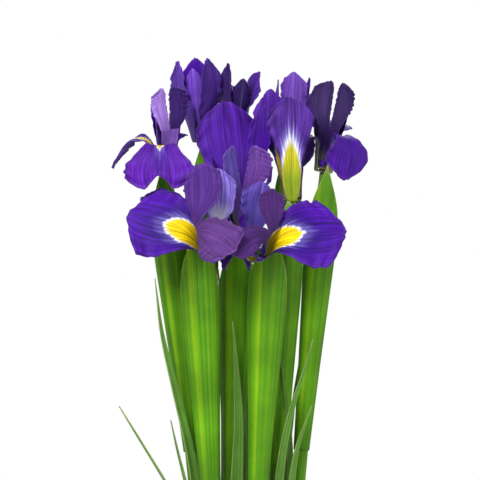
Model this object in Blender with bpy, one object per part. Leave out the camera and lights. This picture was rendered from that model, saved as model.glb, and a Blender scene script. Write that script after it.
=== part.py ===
"""A bunch of nine cut irises standing in a plain cylindrical vase.

All dimensions are millimetres and are scaled to metres when a mesh is made. The vase stands on z = 0 with its
axis on Z, and the bunch faces -Y. Every flower is an axis with a hub on it; three falls, three standards and
three style arms leave small discs that are stacked on the hub, as the whorls of an iris are. A petal is a
midrib curve with a width and a cross curvature along it, thickened to a closed slab.
"""

import math

import bpy
import numpy as np

MM = 0.001

# ---- vase ---------------------------------------------------------------
VASE_HEIGHT = 200.0
VASE_FLOOR = 8.0
VASE_SIDES = 40
# radius and height, from the middle of the underside, up the outside, over the lip and down the inside
VASE_PROFILE = [(37.5, 0.0), (40.0, 1.6), (41.0, 6.0), (42.0, 60.0), (42.5, 130.0), (42.8, 192.0), (42.2, 198.2), (40.6, 200.0),
                (39.0, 198.6), (38.4, 195.0), (38.2, 130.0), (37.6, 60.0), (36.6, 16.0), (33.0, 9.6), (29.0, VASE_FLOOR)]

# ---- flowers ------------------------------------------------------------
PETAL_THICKNESS = 1.2
DISC_FALLS, DISC_STANDARDS, DISC_STYLES = 5.0, 4.6, 2.5   # radii of the discs that the whorls grow from
DISC_STEP = 2.05                                         # from one disc to the next along the flower's axis
STEPS = 96                                               # steps along a midrib

FALL_ROWS = (0, .18, .4, .56, .7, .84, 1.0)
STANDARD_ROWS = (0, .25, .5, .75, 1.0)
ARM_ROWS = (0, .5, 1.0)
LOBE_ROWS = (0, .3, .65, 1.0)
FALL_HALF = (2.6, 4.6, 6.2, 7.5, 11.0, 17.5, 20.0, 18.5, 11.0)      # half widths from base to tip
BROAD_FALL_HALF = (2.6, 4.6, 6.2, 10.0, 16.5, 20.5, 20.8, 18.5, 11.5)
FAN_FALL_HALF = (2.6, 4.9, 5.7, 6.3, 8.0, 11.0, 13.6, 14.4, 12.5)
BACK_FALL_HALF = (2.6, 4.6, 6.0, 9.0, 14.0, 17.5, 19.0, 18.5, 13.5)
BUD_FALL_HALF = (2.6, 8.0, 12.5, 15.5, 17.0, 18.0, 17.5, 15.0, 9.0)
FALL_CUP = (8, 22, 30, 25, 5, -12, -18, -15, -10)                   # degrees that each half turns in cross section
STANDARD_HALF = (2.0, 2.6, 3.6, 6.0, 9.0, 11.0, 11.5, 10.0, 6.0)
STANDARD_CUP = (20, 30, 40, 45, 45, 40, 40, 40, 35)
ARM_HALF = (2.2, 4.0, 5.0, 5.6, 6.0)
ARM_CUP = (-10, -20, -25, -25, -15)
LOBE_HALF = (3.0, 6.5, 9.5, 10.5, 9.5, 6.0)
LOBE_CUP = (0, 10, 18, 20, 18, 10)


def fall(phi, lean, length, width=1.0, half=FALL_HALF, twist=(0, 0), sweep=(0, 0), notch=0.0):
    """phi: direction round the axis, 0 to the right, 90 up; lean: degrees off the axis from base to tip"""
    return dict(phi=phi, lean=lean, length=length, width=width, half=half, twist=twist, sweep=sweep, notch=notch)


def standard(phi, lean, length, width=1.0, twist=(0, 0), sweep=(0, 0)):
    return dict(phi=phi, lean=lean, length=length, width=width, twist=twist, sweep=sweep)


def arm(phi, lean, length, lobes, width=1.0, twist=(0, 0)):
    """A style arm, which splits at its end into two crest lobes."""
    return dict(phi=phi, lean=lean, length=length, width=width, twist=twist, lobes=lobes)


def crest(bend, splay, length, width, other=None, cup=1.0, near=.8):
    """Both lobes of one arm: bend off the arm's line towards its upper face, splay away from its midline. near is the
    share of the arm's half width that a lobe keeps on the side of its twin, and 0 gives it two like sides."""
    one = dict(bend=bend, splay=splay, length=length, width=width, cup=cup, near=near)
    return (one, dict(one, **(other or {})))


def closed_crest(length=10, width=.25):
    return crest((0, 0, 0), (0, 3, 3), length, width)


OPEN_FALL = (10, 15, 30, 78, 92, 92, 96)
FLOWERS = {
    # front left: faces forward, one broad fall spread to the left
    "1": dict(hub=(-21.5, -32, 359.0), tilt=62, toward=-5,
              falls=[fall(161, OPEN_FALL, 60, half=BROAD_FALL_HALF),
                     fall(335, (30, 40, 45, 45), 14, .42),
                     fall(76, (62, 80, 86), 22, .3)],
              standards=[standard(62, (38, 58, 66, 62), 46, .98, sweep=(0, 22, 28, 28)),
                         standard(103, (50, 84, 98, 98), 54, .8, sweep=(0, 32, 55, 55)),
                         standard(262, (20, 25, 25), 9, .45)],
              arms=[arm(150, (6, 10, 18), 24, crest((30, 85, 95, 95), (20, 60, 76, 74), 42, 1.05, dict(length=33, width=1.3, splay=(20, 52, 62, 66)), near=0), twist=(0, 48)),
                    arm(285, (15, 20, 30), 12, closed_crest(10, .22), .6),
                    arm(28, (8, 14, 20), 12, closed_crest(10, .22), .6)]),
    # front right: its mirror, with the broad fall to the right
    "2": dict(hub=(4.6, -32, 358.5), tilt=62, toward=5,
              falls=[fall(8, OPEN_FALL, 61, half=BROAD_FALL_HALF),
                     fall(208, (30, 36, 36), 9, .4),
                     fall(104, (62, 80, 86), 22, .3)],
              standards=[standard(107, (34, 54, 62, 60), 39, .95, sweep=(0, -20, -26, -26)),
                         standard(64, (50, 84, 98, 98), 46, .7, sweep=(0, -26, -52, -52)),
                         standard(300, (12, 12, 12), 5, .3)],
              arms=[arm(16, (3, 6, 12), 23, crest((30, 85, 95, 95), (20, 62, 78, 78), 30, .8, dict(length=27, width=.72, splay=(20, 50, 56, 52)), near=0), twist=(0, -52)),
                    arm(250, (15, 20, 30), 12, closed_crest(10, .22), .6),
                    arm(150, (8, 14, 20), 12, closed_crest(10, .22), .6)]),
    # middle: the back fall stands up behind the crest
    "3": dict(hub=(-3.5, 4, 367.5), tilt=18, toward=-5,
              falls=[fall(108, (10, 14, 18, 22, 24, 20, 18), 78, half=BACK_FALL_HALF),
                     fall(228, (20, 60, 120, 160, 165), 38, .4),
                     fall(348, (12, 16, 18, 18, 18), 46, .35)],
              standards=[standard(51, (15, 18, 14, 8), 75, .76),
                         standard(168, (16, 16, 14), 48, .45),
                         standard(300, (60, 95, 120), 18, .5)],
              arms=[arm(272, (8, 14, 24), 27, crest((10, 30, 40, 40), (0, 5, 3, -3), 29, .62, dict(width=1.15, splay=(0, 12, 10, 3)))),
                    arm(32, (1, 3, 4), 18, closed_crest(10, .2), .5),
                    arm(152, (1, 3, 4), 18, closed_crest(10, .2), .5)]),
    # right of the middle, half open: the front fall shows its outer face
    "4": dict(hub=(25, -2, 388.5), tilt=3, toward=-40,
              falls=[fall(270, (12, 9, 6, 3, 0, -2), 61, half=FAN_FALL_HALF),
                     fall(30, (8, 4, 0, 0, 2), 54, .42),
                     fall(122, (13, 16, 15, 12, 9, 17), 66, .64)],
              standards=[standard(p, (4, 1, 0), 42, .24) for p in (78, 205, 332)],
              arms=[arm(p, (0, 0, 0), 22, closed_crest(8, .15), .3) for p in (270, 30, 150)]),
    # far right
    "5": dict(hub=(43.5, 12, 404.5), tilt=9, toward=75,
              falls=[fall(-50, (8, 8, 12, 108, 172, 184, 188), 55, .66, twist=(0, 0, 0, 20, 30)),
                     fall(203, (8, 9, 12, 158, 177, 180), 42, .45),
                     fall(90, (15, 20, 30, 60, 90, 110), 50, .7)],
              standards=[standard(34, (9, 7, 2), 45, .5),
                         standard(140, (16, 14, 10), 46, .42),
                         standard(-107, (12, 12, 12), 5, .2)],
              arms=[arm(262, (2, 6, 14), 22, crest((10, 30, 26, 20), (0, 1, 1, -1), 28, 1.05, dict(width=.8))),
                    arm(35, (0, 2, 3), 18, closed_crest(14, .2), .5),
                    arm(155, (0, 2, 3), 18, closed_crest(14, .2), .5)]),
    # far left
    "6": dict(hub=(-47.5, -8, 404.5), tilt=8, toward=-20,
              falls=[fall(262, (10, 17, 50, 130, 165, 174, 176), 55, 1.04, notch=.22),
                     fall(170, (10, 14, 26, 90, 135, 150, 155), 50, .8),
                     fall(76, (14, 20, 27, 60, 110, 140), 36, .42)],
              standards=[standard(124, (6, 4, 0), 44, .42),
                         standard(216, (3, 3, 3), 4, .2),
                         standard(32, (14, 12, 6), 42, .3)],
              arms=[arm(304, (2, 8, 18), 22, crest((8, 24, 22, 14), (0, 1, 1, -1), 25, .72, dict(width=1.1))),
                    arm(40, (0, 2, 3), 18, closed_crest(14, .2), .5),
                    arm(160, (0, 2, 3), 18, closed_crest(14, .2), .5)]),
    # top left, still a loose bud
    "7": dict(hub=(-27.5, 20, 422.0), tilt=7, toward=-60,
              falls=[fall(p, (10, 12, 8, 4, 0, 6), 49, .56, half=BUD_FALL_HALF) for p in (205, 325, 85)],
              standards=[standard(145, (6, 3, 2), 38, .28),
                         standard(265, (9, 7, 3), 42, .5),
                         standard(25, (6, 3, 2), 38, .28)],
              arms=[arm(p, (0, 0, 0), 18, closed_crest(6, .12), .3) for p in (205, 325, 85)]),
    # top, behind the middle
    "8": dict(hub=(-8.5, 26, 420.0), tilt=5, toward=60,
              falls=[fall(-4, (5, 6, 3, 1, 14, 52), 45, .6, half=BUD_FALL_HALF, twist=(0, 0, 20, 40)),
                     fall(110, (12, 16, 30, 60, 90), 46, .6),
                     fall(206, (9, 9, 6, 2, -2, -4), 48, .5, half=BUD_FALL_HALF)],
              standards=[standard(157, (4, 2, 0), 36, .22),
                         standard(52, (2, 0, 0), 24, .22),
                         standard(284, (9, 8, 4), 38, .5)],
              arms=[arm(p, (0, 0, 0), 18, closed_crest(8, .15), .35) for p in (-10, 110, 225)]),
    # top right, behind
    "9": dict(hub=(27, 34, 419.5), tilt=3, toward=20,
              falls=[fall(182, (11, 13, 8, 4, 0), 39, .42),
                     fall(75, (12, 16, 30, 80, 110), 46, .7),
                     fall(325, (14, 14, 10, 10, 14), 32, .34)],
              standards=[standard(135, (8, 6, 4), 38, .4),
                         standard(260, (8, 6, 2), 42, .74),
                         standard(15, (8, 6, 4), 38, .4)],
              arms=[arm(p, (0, 0, 0), 18, closed_crest(8, .12), .3) for p in (195, 75, 315)]),
}

# ---- green parts --------------------------------------------------------
STEM_SIDES = 8
STEM_RADIUS = 4.1
GAP = 0.4
# collar: where the spathe closes round the flower's tube; rim: where the stem passes the vase's rim
SHEATHS = {
    "1": dict(collar=(-29.5, -19, 360), rim=(-21, -18), length=140, width=21),
    "2": dict(collar=(11.5, -19, 360), rim=(4, -22), length=140, width=21),
    "3": dict(collar=(-6.5, 2, 356), rim=(-11, 3), length=130, width=20),
    "4": dict(collar=(22.5, 0, 376), rim=(15.5, 2), length=140, width=18),
    "5": dict(collar=(44.5, 10, 394), rim=(27, 6), length=150, width=17),
    "6": dict(collar=(-49.0, -6, 394), rim=(-29, 3), length=150, width=18),
    "7": dict(collar=(-26.5, 20, 409), rim=(-21, 18), length=130, width=15),
    "8": dict(collar=(-6.5, 26, 407), rim=(-5, 24), length=130, width=15),
    "9": dict(collar=(24.0, 32, 407), rim=(12, 22), length=130, width=15),
}
LEAF_THICKNESS = 1.2
LEAF_HALF = (.12, .45, .75, .95, 1.0, 1.0, .9)        # from tip to base, of the full half width
LEAF_ROWS = 8
# points down each blade from its tip, and the way its upper face looks
LEAVES = {
    "left_long": dict(path=((-54, -14, 344), (-50, -16, 313), (-43, -18, 283), (-35, -13, 249), (-31, -10.5, 226), (-27, -8, 190), (-23, -6, 90)), half=3.4, face=(.5, -.85, 0)),
    "left_far": dict(path=((-75, -14, 270), (-62, -16, 249), (-48.5, -14, 226), (-34, -9, 200), (-33.3, -4, 165), (-32.5, -3, 120)), half=3.0, face=(-1, -.3, .3)),
    "left_short": dict(path=((-46, 14, 258), (-42, 13, 240), (-37, 12, 220), (-32.5, 12, 200), (-30, 12, 100)), half=2.8, face=(-1, -.6, 0)),
    "centre": dict(path=((-9.5, -12, 319), (-7.5, -12, 296), (-6, -12, 261), (-7, -11, 226), (-8, -9, 190), (-8, -8, 60)), half=4.6, face=(0, -1, 0)),
    "right_tall": dict(path=((37, -8, 308), (32, -10, 290), (26, -12, 272), (20.5, -13, 249), (17.5, -13, 226), (15.5, -11, 200), (13, -9, 70)), half=3.6, face=(.4, -1, 0)),
    "right_short": dict(path=((36.5, -4, 269), (31.5, -5, 255), (28, -6, 244), (25, -7, 226), (23, -8, 200), (21, -8, 110)), half=3.0, face=(.2, -1, 0)),
    "right_inner": dict(path=((18, -9, 302), (20.5, -6, 280), (23, -3, 258), (24, -2, 235), (22.5, -1, 200), (20, 0, 90)), half=2.6, face=(.2, -1, 0)),
    "right_back": dict(path=((22.5, 14, 288), (23.5, 14, 262), (24, 15, 235), (22, 15, 200), (20, 13, 80)), half=3.0, face=(0, -1, 0)),
    "back_left": dict(path=((-18, 36, 345), (-16, 36, 310), (-14, 35, 270), (-13, 33, 226), (-13, 31, 200), (-10, 25, 60)), half=4.0, face=(0, 1, 0)),
    "back_right": dict(path=((2, 38, 332), (0, 37, 300), (-2, 36, 262), (-2, 34, 226), (-2, 31, 195), (-1, 26, 60)), half=5.4, face=(0, 1, 0)),
    "back_low": dict(path=((30, 26, 292), (26, 26, 262), (22, 25, 232), (19.5, 23.5, 200), (17, 20, 80)), half=3.4, face=(.4, 1, 0)),
}


def unit(v):
    v = np.asarray(v, float)
    return v / np.linalg.norm(v, axis=-1, keepdims=True)


def along(s, values):
    """Values that are evenly spaced from 0 to 1, read at s."""
    return np.interp(s, np.linspace(0, 1, len(values)), values)


def flower_frame(tilt, toward):
    """The flower's axis, leaning from upright towards an azimuth (0 is -Y, 90 is +X), and two directions across it."""
    t, w = math.radians(tilt), math.radians(toward)
    axis = np.array([math.sin(t) * math.sin(w), -math.sin(t) * math.cos(w), math.cos(t)])
    right = np.array([1.0, 0.0, 0.0])
    right = unit(right - axis * (right @ axis))
    return axis, right, np.cross(axis, right)


class Ribbon:
    """A curve with a forward, a sideways and a facing direction at every point."""

    def __init__(self, start, forward, side, length):
        middle = 0.5 * (forward[1:] + forward[:-1])
        self.point = np.vstack([start, start + np.cumsum(middle, axis=0) * length / (len(forward) - 1)])
        self.side = side
        self.face = np.cross(forward, side)

    def at(self, s):
        x = np.clip(s, 0, 1) * (len(self.point) - 1)
        i = np.minimum(x.astype(int), len(self.point) - 2)
        f = (x - i)[..., None]

        def mix(a):
            return a[i] * (1 - f) + a[i + 1] * f

        return mix(self.point), unit(mix(self.side)), unit(mix(self.face))


def petal_ribbon(start, axis, out, petal):
    s = np.linspace(0, 1, STEPS + 1)
    lean, sweep = np.radians(along(s, petal["lean"])), np.radians(along(s, petal.get("sweep", (0, 0))))
    away = np.cos(sweep)[:, None] * out + np.sin(sweep)[:, None] * np.cross(axis, out)
    forward = np.cos(lean)[:, None] * axis + np.sin(lean)[:, None] * away
    side = np.cross(axis, away)
    side = unit(side - forward * np.sum(side * forward, axis=1)[:, None])
    turn = np.radians(along(s, petal["twist"]))[:, None]
    side = side * np.cos(turn) + np.cross(forward, side) * np.sin(turn)
    return Ribbon(start, forward, side, petal["length"])


def petal_grid(ribbon, rows, columns, half, cup, round_end, notch=0.0, twin=0, near=1.0):
    """Points of the middle surface. The end row is bowed by round_end, which rounds the tip, and cut in by notch at the
    midline. twin is the side, -1 or 1, on which a second lobe lies, and near is the half width there."""
    s, t = np.meshgrid(rows, np.linspace(-1, 1, columns), indexing="ij")
    s = s * (1 - round_end * t * t * s * s - notch * s ** 4 * np.exp(-(t / .35) ** 2))
    point, side, face = ribbon.at(s)
    width, turn = along(s, half), np.radians(along(s, cup))
    width = np.where(t * twin > 0, near * (1 - .3 * s * s), width)
    turn = np.where(np.abs(turn) < 1e-3, 1e-3, turn)
    across, lift = width * np.sin(turn * t) / turn, width * (1 - np.cos(turn * t)) / turn
    return point + side * across[..., None] + face * lift[..., None]


class Sheet:
    """A surface of joined grids that thickens into one closed body."""

    def __init__(self):
        self.points, self.faces = [], []

    def add_grid(self, grid, root=None):
        """root gives the vertices of an earlier grid that stand for this one's first row."""
        rows, columns = grid.shape[:2]
        index = np.zeros((rows, columns), int)
        for i in range(rows):
            for j in range(columns):
                if i == 0 and root is not None:
                    index[i, j] = root[j]
                else:
                    index[i, j] = len(self.points)
                    self.points.append(grid[i, j])
        for i in range(rows - 1):
            for j in range(columns - 1):
                a, b, c, d = index[i, j], index[i + 1, j], index[i + 1, j + 1], index[i, j + 1]
                self.faces += [(a, b, c), (a, c, d)]
        return index

    def solid(self, thickness):
        v, f = np.array(self.points), np.array(self.faces)
        flat = np.cross(v[f[:, 1]] - v[f[:, 0]], v[f[:, 2]] - v[f[:, 0]])
        normal = np.zeros_like(v)
        for k in range(3):
            np.add.at(normal, f[:, k], flat)
        normal = unit(normal) * thickness / 2
        n = len(v)
        sides = {(t[k], t[(k + 1) % 3]) for t in f for k in range(3)}
        rim = []
        for a, b in sorted(sides):
            if (b, a) not in sides:
                rim += [(b, a, a + n), (b, a + n, b + n)]
        return np.vstack([v + normal, v - normal]), np.vstack([f, f[:, ::-1] + n, rim])


def add_fall(sheet, start, axis, out, petal):
    half = np.array(petal["half"]) * petal["width"]
    half[0] = FALL_HALF[0]
    ribbon = petal_ribbon(start, axis, out, petal)
    return sheet.add_grid(petal_grid(ribbon, FALL_ROWS, 5, half, FALL_CUP, .16, petal["notch"]))[0]


def add_standard(sheet, start, axis, out, petal):
    half = np.array(STANDARD_HALF) * petal["width"]
    half[0] = STANDARD_HALF[0]
    ribbon = petal_ribbon(start, axis, out, petal)
    return sheet.add_grid(petal_grid(ribbon, STANDARD_ROWS, 3, half, STANDARD_CUP, .14))[0]


def add_arm(sheet, start, axis, out, petal):
    half = np.array(ARM_HALF) * petal["width"]
    ribbon = petal_ribbon(start, axis, out, petal)
    index = sheet.add_grid(petal_grid(ribbon, ARM_ROWS, 5, half, ARM_CUP, 0))
    _, side, face = (q[0] for q in ribbon.at(np.array([1.0])))
    forward = np.cross(side, face)
    for first, sign, lobe in ((0, -1, petal["lobes"][0]), (2, 1, petal["lobes"][1])):
        root = index[-1][first:first + 3]
        s = np.linspace(0, 1, STEPS + 1)
        bend = np.radians(along(s, lobe["bend"]))[:, None]
        splay = np.radians(along(s, lobe["splay"]))[:, None] * sign
        ahead = np.cos(bend) * forward + np.sin(bend) * face
        heading = np.cos(splay) * ahead + np.sin(splay) * side
        across = np.cos(splay) * side - np.sin(splay) * ahead
        middle = 0.5 * (sheet.points[root[0]] + sheet.points[root[2]])
        ribbon2 = Ribbon(middle, heading, across, lobe["length"])
        grid = petal_grid(ribbon2, LOBE_ROWS, 3, np.array(LOBE_HALF) * lobe["width"], np.array(LOBE_CUP) * lobe["cup"], .14,
                          twin=-sign if lobe["near"] else 0, near=lobe["near"] * half[-1] / 2)
        sheet.add_grid(grid, root)
    return index[0]


def whorl(flower, level, radius, petals, add):
    """Three petals that rise from the rim of one small disc."""
    axis, right, up = flower_frame(flower["tilt"], flower["toward"])
    centre = np.array(flower["hub"], float) + axis * level * DISC_STEP
    sheet = Sheet()
    sheet.points.append(centre)
    ring = []
    for petal in sorted(petals, key=lambda p: p["phi"] % 360):
        phi = math.radians(petal["phi"])
        out = right * math.cos(phi) + up * math.sin(phi)
        ring += list(add(sheet, centre + out * radius, axis, out, petal))
    sheet.faces += [(0, ring[i], ring[(i + 1) % len(ring)]) for i in range(len(ring))]
    return sheet.solid(PETAL_THICKNESS)


def loft(points, radii, sides=STEM_SIDES):
    """A closed tube through points, with a half width in X and a half depth at each."""
    points = np.array(points, float)
    forward = unit(np.gradient(points, axis=0))
    front = np.array([0.0, -1.0, 0.0])
    v, f = [], []
    for p, d, (wide, deep) in zip(points, forward, radii):
        b = unit(front - d * (front @ d))
        a = np.cross(b, d)
        for k in range(sides):
            turn = 2 * math.pi * (k + .5) / sides
            v.append(p + a * math.cos(turn) * wide + b * math.sin(turn) * deep)
    for i in range(len(points) - 1):
        for k in range(sides):
            a, b = i * sides + k, i * sides + (k + 1) % sides
            f += [(a, b, b + sides), (a, b + sides, a + sides)]
    last, low = (len(points) - 1) * sides, len(v)
    v += [points[0], points[-1]]
    for k in range(sides):
        f += [(low, (k + 1) % sides, k), (low + 1, last + k, last + (k + 1) % sides)]
    return outward(np.array(v), np.array(f))


def outward(v, f):
    volume = np.einsum("ij,ij->i", v[f[:, 0]], np.cross(v[f[:, 1]], v[f[:, 2]])).sum()
    return v, f if volume > 0 else f[:, ::-1]


def curve_point(a, b, c, t):
    return (1 - t) ** 2 * a + 2 * t * (1 - t) * b + t * t * c


def sheath_and_stem(flower, sheath):
    """The spathe with the flower's tube in its mouth, and the stem below it down to the vase's floor."""
    axis = flower_frame(flower["tilt"], flower["toward"])[0]
    top = np.array(flower["hub"], float) - axis * (PETAL_THICKNESS / 2 + GAP + .5)
    collar = np.array(sheath["collar"], float)
    rim = np.array([sheath["rim"][0], sheath["rim"][1], VASE_HEIGHT])
    up = unit(collar - rim)
    base = collar - up * sheath["length"]
    w = sheath["width"] / 2
    knee = collar * .4 + (top - axis * 10) * .6
    path = [base + up * sheath["length"] * k for k in (0, .3, .66, .88)]
    path += [curve_point(collar - up * 6, knee, top, t) for t in (0, .35, .7, 1)]
    radii = [(w * a, w * b) for a, b in ((.46, .44), (.66, .6), (.92, .7), (1, .75), (.8, .68), (.48, .45), (.32, .3), (.22, .22))]
    foot = np.array([rim[0] * .7, rim[1] * .7, VASE_FLOOR + .5])
    head = base - up * GAP
    bow = np.array([rim[0] * .03, rim[1] * .03, 0])
    line = [foot, (rim + foot) / 2 + bow, rim, (head + rim) / 2, head]
    return loft(path, radii), loft(line, [(r, r) for r in (3.6, 3.9, 4.0, STEM_RADIUS, 4.0)])


def smooth_path(points, count):
    """Evenly spaced points on a smooth curve through the given ones."""
    p = np.array(points, float)
    ends = np.vstack([2 * p[0] - p[1], p, 2 * p[-1] - p[-2]])
    fine = []
    for i in range(1, len(p)):
        a, b, c, d = ends[i - 1], ends[i], ends[i + 1], ends[i + 2]
        for t in np.linspace(0, 1, 12, endpoint=False):
            fine.append(.5 * (2 * b + (c - a) * t + (2 * a - 5 * b + 4 * c - d) * t * t + (3 * b - a - 3 * c + d) * t ** 3))
    fine = np.array(fine + [p[-1]])
    run = np.concatenate([[0], np.cumsum(np.linalg.norm(np.diff(fine, axis=0), axis=1))])
    want = np.linspace(0, run[-1], count)
    return np.stack([np.interp(want, run, fine[:, k]) for k in range(3)], axis=1)


def leaf_blade(leaf):
    """A channelled blade, three vertices across, from its tip down to its base."""
    path = smooth_path(leaf["path"], LEAF_ROWS)
    forward = unit(np.gradient(path, axis=0))
    face = unit(np.array(leaf["face"], float))
    grid = np.zeros((LEAF_ROWS, 3, 3))
    for i, (p, d) in enumerate(zip(path, forward)):
        n = unit(face - d * (face @ d))
        side = np.cross(n, d)
        half = leaf["half"] * along(i / (LEAF_ROWS - 1), LEAF_HALF)
        grid[i] = [p - side * half, p - n * half * .25, p + side * half]
    sheet = Sheet()
    sheet.add_grid(grid)
    return outward(*sheet.solid(LEAF_THICKNESS))


def turned(profile, sides):
    """A closed body of revolution whose first and last profile points lie in its two end faces."""
    v = [(r * math.cos(2 * math.pi * k / sides), r * math.sin(2 * math.pi * k / sides), z) for r, z in profile for k in range(sides)]
    f = []
    for i in range(len(profile) - 1):
        for k in range(sides):
            a, b = i * sides + k, i * sides + (k + 1) % sides
            f += [(a, b, b + sides), (a, b + sides, a + sides)]
    low, last = len(v), (len(profile) - 1) * sides
    v += [(0, 0, profile[0][1]), (0, 0, profile[-1][1])]
    for k in range(sides):
        f += [(low, (k + 1) % sides, k), (low + 1, last + k, last + (k + 1) % sides)]
    return outward(np.array(v, float), np.array(f))


def all_solids():
    solids = {"vase": turned(VASE_PROFILE, VASE_SIDES)}
    for name, flower in FLOWERS.items():
        solids["falls_" + name] = whorl(flower, 0, DISC_FALLS, flower["falls"], add_fall)
        solids["standards_" + name] = whorl(flower, 1, DISC_STANDARDS, flower["standards"], add_standard)
        solids["style_arms_" + name] = whorl(flower, 2, DISC_STYLES, flower["arms"], add_arm)
        solids["spathe_" + name], solids["stem_" + name] = sheath_and_stem(flower, SHEATHS[name])
    for name, leaf in LEAVES.items():
        solids["leaf_" + name] = leaf_blade(leaf)
    return solids


# ---- objects ------------------------------------------------------------
COLOURS = {
    "vase": ((.86, .85, .81), .18), "falls": ((.06, .006, .30), .5), "standards": ((.11, .03, .40), .5),
    "style_arms": ((.18, .08, .33), .55), "spathe": ((.08, .27, .01), .45), "stem": ((.09, .26, .02), .45),
    "leaf": ((.07, .22, .05), .5),
}


def material_for(name):
    kind = next(k for k in COLOURS if name.startswith(k))
    colour, rough = COLOURS[kind]
    material = bpy.data.materials.new(name)
    material.use_nodes = True
    shader = material.node_tree.nodes["Principled BSDF"]
    shader.inputs["Base Color"].default_value = (*colour, 1)
    shader.inputs["Roughness"].default_value = rough
    shader.inputs["Metallic"].default_value = 0
    return material


def make_object(name, points, faces):
    mesh = bpy.data.meshes.new(name)
    mesh.from_pydata((points * MM).tolist(), [], faces.tolist())
    mesh.validate()
    mesh.shade_smooth()
    mesh.materials.append(material_for(name))
    made = bpy.data.objects.new(name, mesh)
    bpy.context.scene.collection.objects.link(made)
    return made


def main():
    for old in list(bpy.data.objects):
        bpy.data.objects.remove(old, do_unlink=True)
    bunch = bpy.data.objects.new("iris_bunch", None)
    bpy.context.scene.collection.objects.link(bunch)
    for name, (points, faces) in all_solids().items():
        make_object(name, points, faces).parent = bunch


main()
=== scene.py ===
"""Looks for a bunch of nine cut irises in a plain cylindrical vase.

Every petal, bract and leaf is a fine surface grown along a midrib, thickened to a closed sheet, and painted by
formulas in its own two coordinates: s from base to tip and t across, -1 to 1. Veins, gloss and bump are shader nodes
that read the same coordinates, so they run along each petal and fan out with it. Lengths are millimetres.
"""

import math

import bpy
import numpy as np
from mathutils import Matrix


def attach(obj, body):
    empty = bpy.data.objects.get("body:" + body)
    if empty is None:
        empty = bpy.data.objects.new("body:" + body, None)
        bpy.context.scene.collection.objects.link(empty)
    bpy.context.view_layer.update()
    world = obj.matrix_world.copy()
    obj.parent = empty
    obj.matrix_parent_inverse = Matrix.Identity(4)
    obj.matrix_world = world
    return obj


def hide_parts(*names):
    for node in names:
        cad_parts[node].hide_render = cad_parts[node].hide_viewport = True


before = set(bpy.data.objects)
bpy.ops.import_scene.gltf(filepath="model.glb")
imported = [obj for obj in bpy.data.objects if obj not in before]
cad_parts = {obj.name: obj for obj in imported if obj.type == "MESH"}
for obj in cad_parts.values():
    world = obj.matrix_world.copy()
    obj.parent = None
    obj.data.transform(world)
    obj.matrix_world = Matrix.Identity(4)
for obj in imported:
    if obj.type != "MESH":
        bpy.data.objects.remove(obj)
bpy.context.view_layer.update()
MM = 0.001

# ---- colours, linear ----------------------------------------------------
VIOLET = (.052, .003, .262)
DEEP = (.020, .002, .150)
MAUVE = (.150, .055, .300)
LILAC = (.24, .11, .48)
BLUISH = (.090, .052, .330)
DUSK = (.045, .014, .125)
WHITE = (.86, .84, .96)
PALE_BLUE = (.30, .27, .72)
YELLOW = (.80, .56, .002)
LIME = (.36, .46, .02)
SPATHE = (.050, .215, .001)
SPATHE_LIGHT = (.200, .400, .004)
STEM = (.048, .195, .001)
LEAF = (.045, .175, .010)
LEAF_PALE = (.24, .40, .08)

# ---- flowers: the same axes and midribs as the CAD ----------------------
DISC_FALLS, DISC_STANDARDS, DISC_STYLES = 5.0, 4.6, 2.5
DISC_STEP = 2.05
STEPS = 160
FALL_HALF = (2.6, 4.6, 6.2, 7.5, 11.0, 17.5, 20.0, 18.5, 11.0)      # half widths from base to tip
BROAD_FALL_HALF = (2.6, 4.6, 6.2, 10.0, 16.5, 20.5, 20.8, 18.5, 11.5)
FAN_FALL_HALF = (2.6, 4.9, 5.7, 6.3, 8.0, 11.0, 13.6, 14.4, 12.5)
BACK_FALL_HALF = (2.6, 4.6, 6.0, 9.0, 14.0, 17.5, 19.0, 18.5, 13.5)
BUD_FALL_HALF = (2.6, 8.0, 12.5, 15.5, 17.0, 18.0, 17.5, 15.0, 9.0)
FALL_CUP = (8, 22, 30, 25, 5, -12, -18, -15, -10)                   # degrees that each half turns in cross section
STANDARD_HALF = (2.0, 2.6, 3.6, 6.0, 9.0, 11.0, 11.5, 10.0, 6.0)
STANDARD_CUP = (20, 30, 40, 45, 45, 40, 40, 40, 35)
ARM_HALF = (2.2, 4.0, 5.0, 5.6, 6.0)
ARM_CUP = (-10, -20, -25, -25, -15)
LOBE_HALF = (3.0, 6.5, 9.5, 10.5, 9.5, 6.0)
LOBE_CUP = (0, 10, 18, 20, 18, 10)


def fall(phi, lean, length, width=1.0, half=FALL_HALF, twist=(0, 0), sweep=(0, 0), notch=0.0):
    """phi: direction round the axis; lean: degrees off the axis from base to tip"""
    return dict(phi=phi, lean=lean, length=length, width=width, half=half, twist=twist, sweep=sweep, notch=notch)


def standard(phi, lean, length, width=1.0, twist=(0, 0), sweep=(0, 0)):
    return dict(phi=phi, lean=lean, length=length, width=width, twist=twist, sweep=sweep)


def arm(phi, lean, length, lobes, width=1.0, twist=(0, 0)):
    return dict(phi=phi, lean=lean, length=length, width=width, twist=twist, lobes=lobes)


def crest(bend, splay, length, width, other=None, cup=1.0, near=.8):
    one = dict(bend=bend, splay=splay, length=length, width=width, cup=cup, near=near)
    return (one, dict(one, **(other or {})))


def closed_crest(length=10, width=.25):
    return crest((0, 0, 0), (0, 3, 3), length, width)


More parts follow.
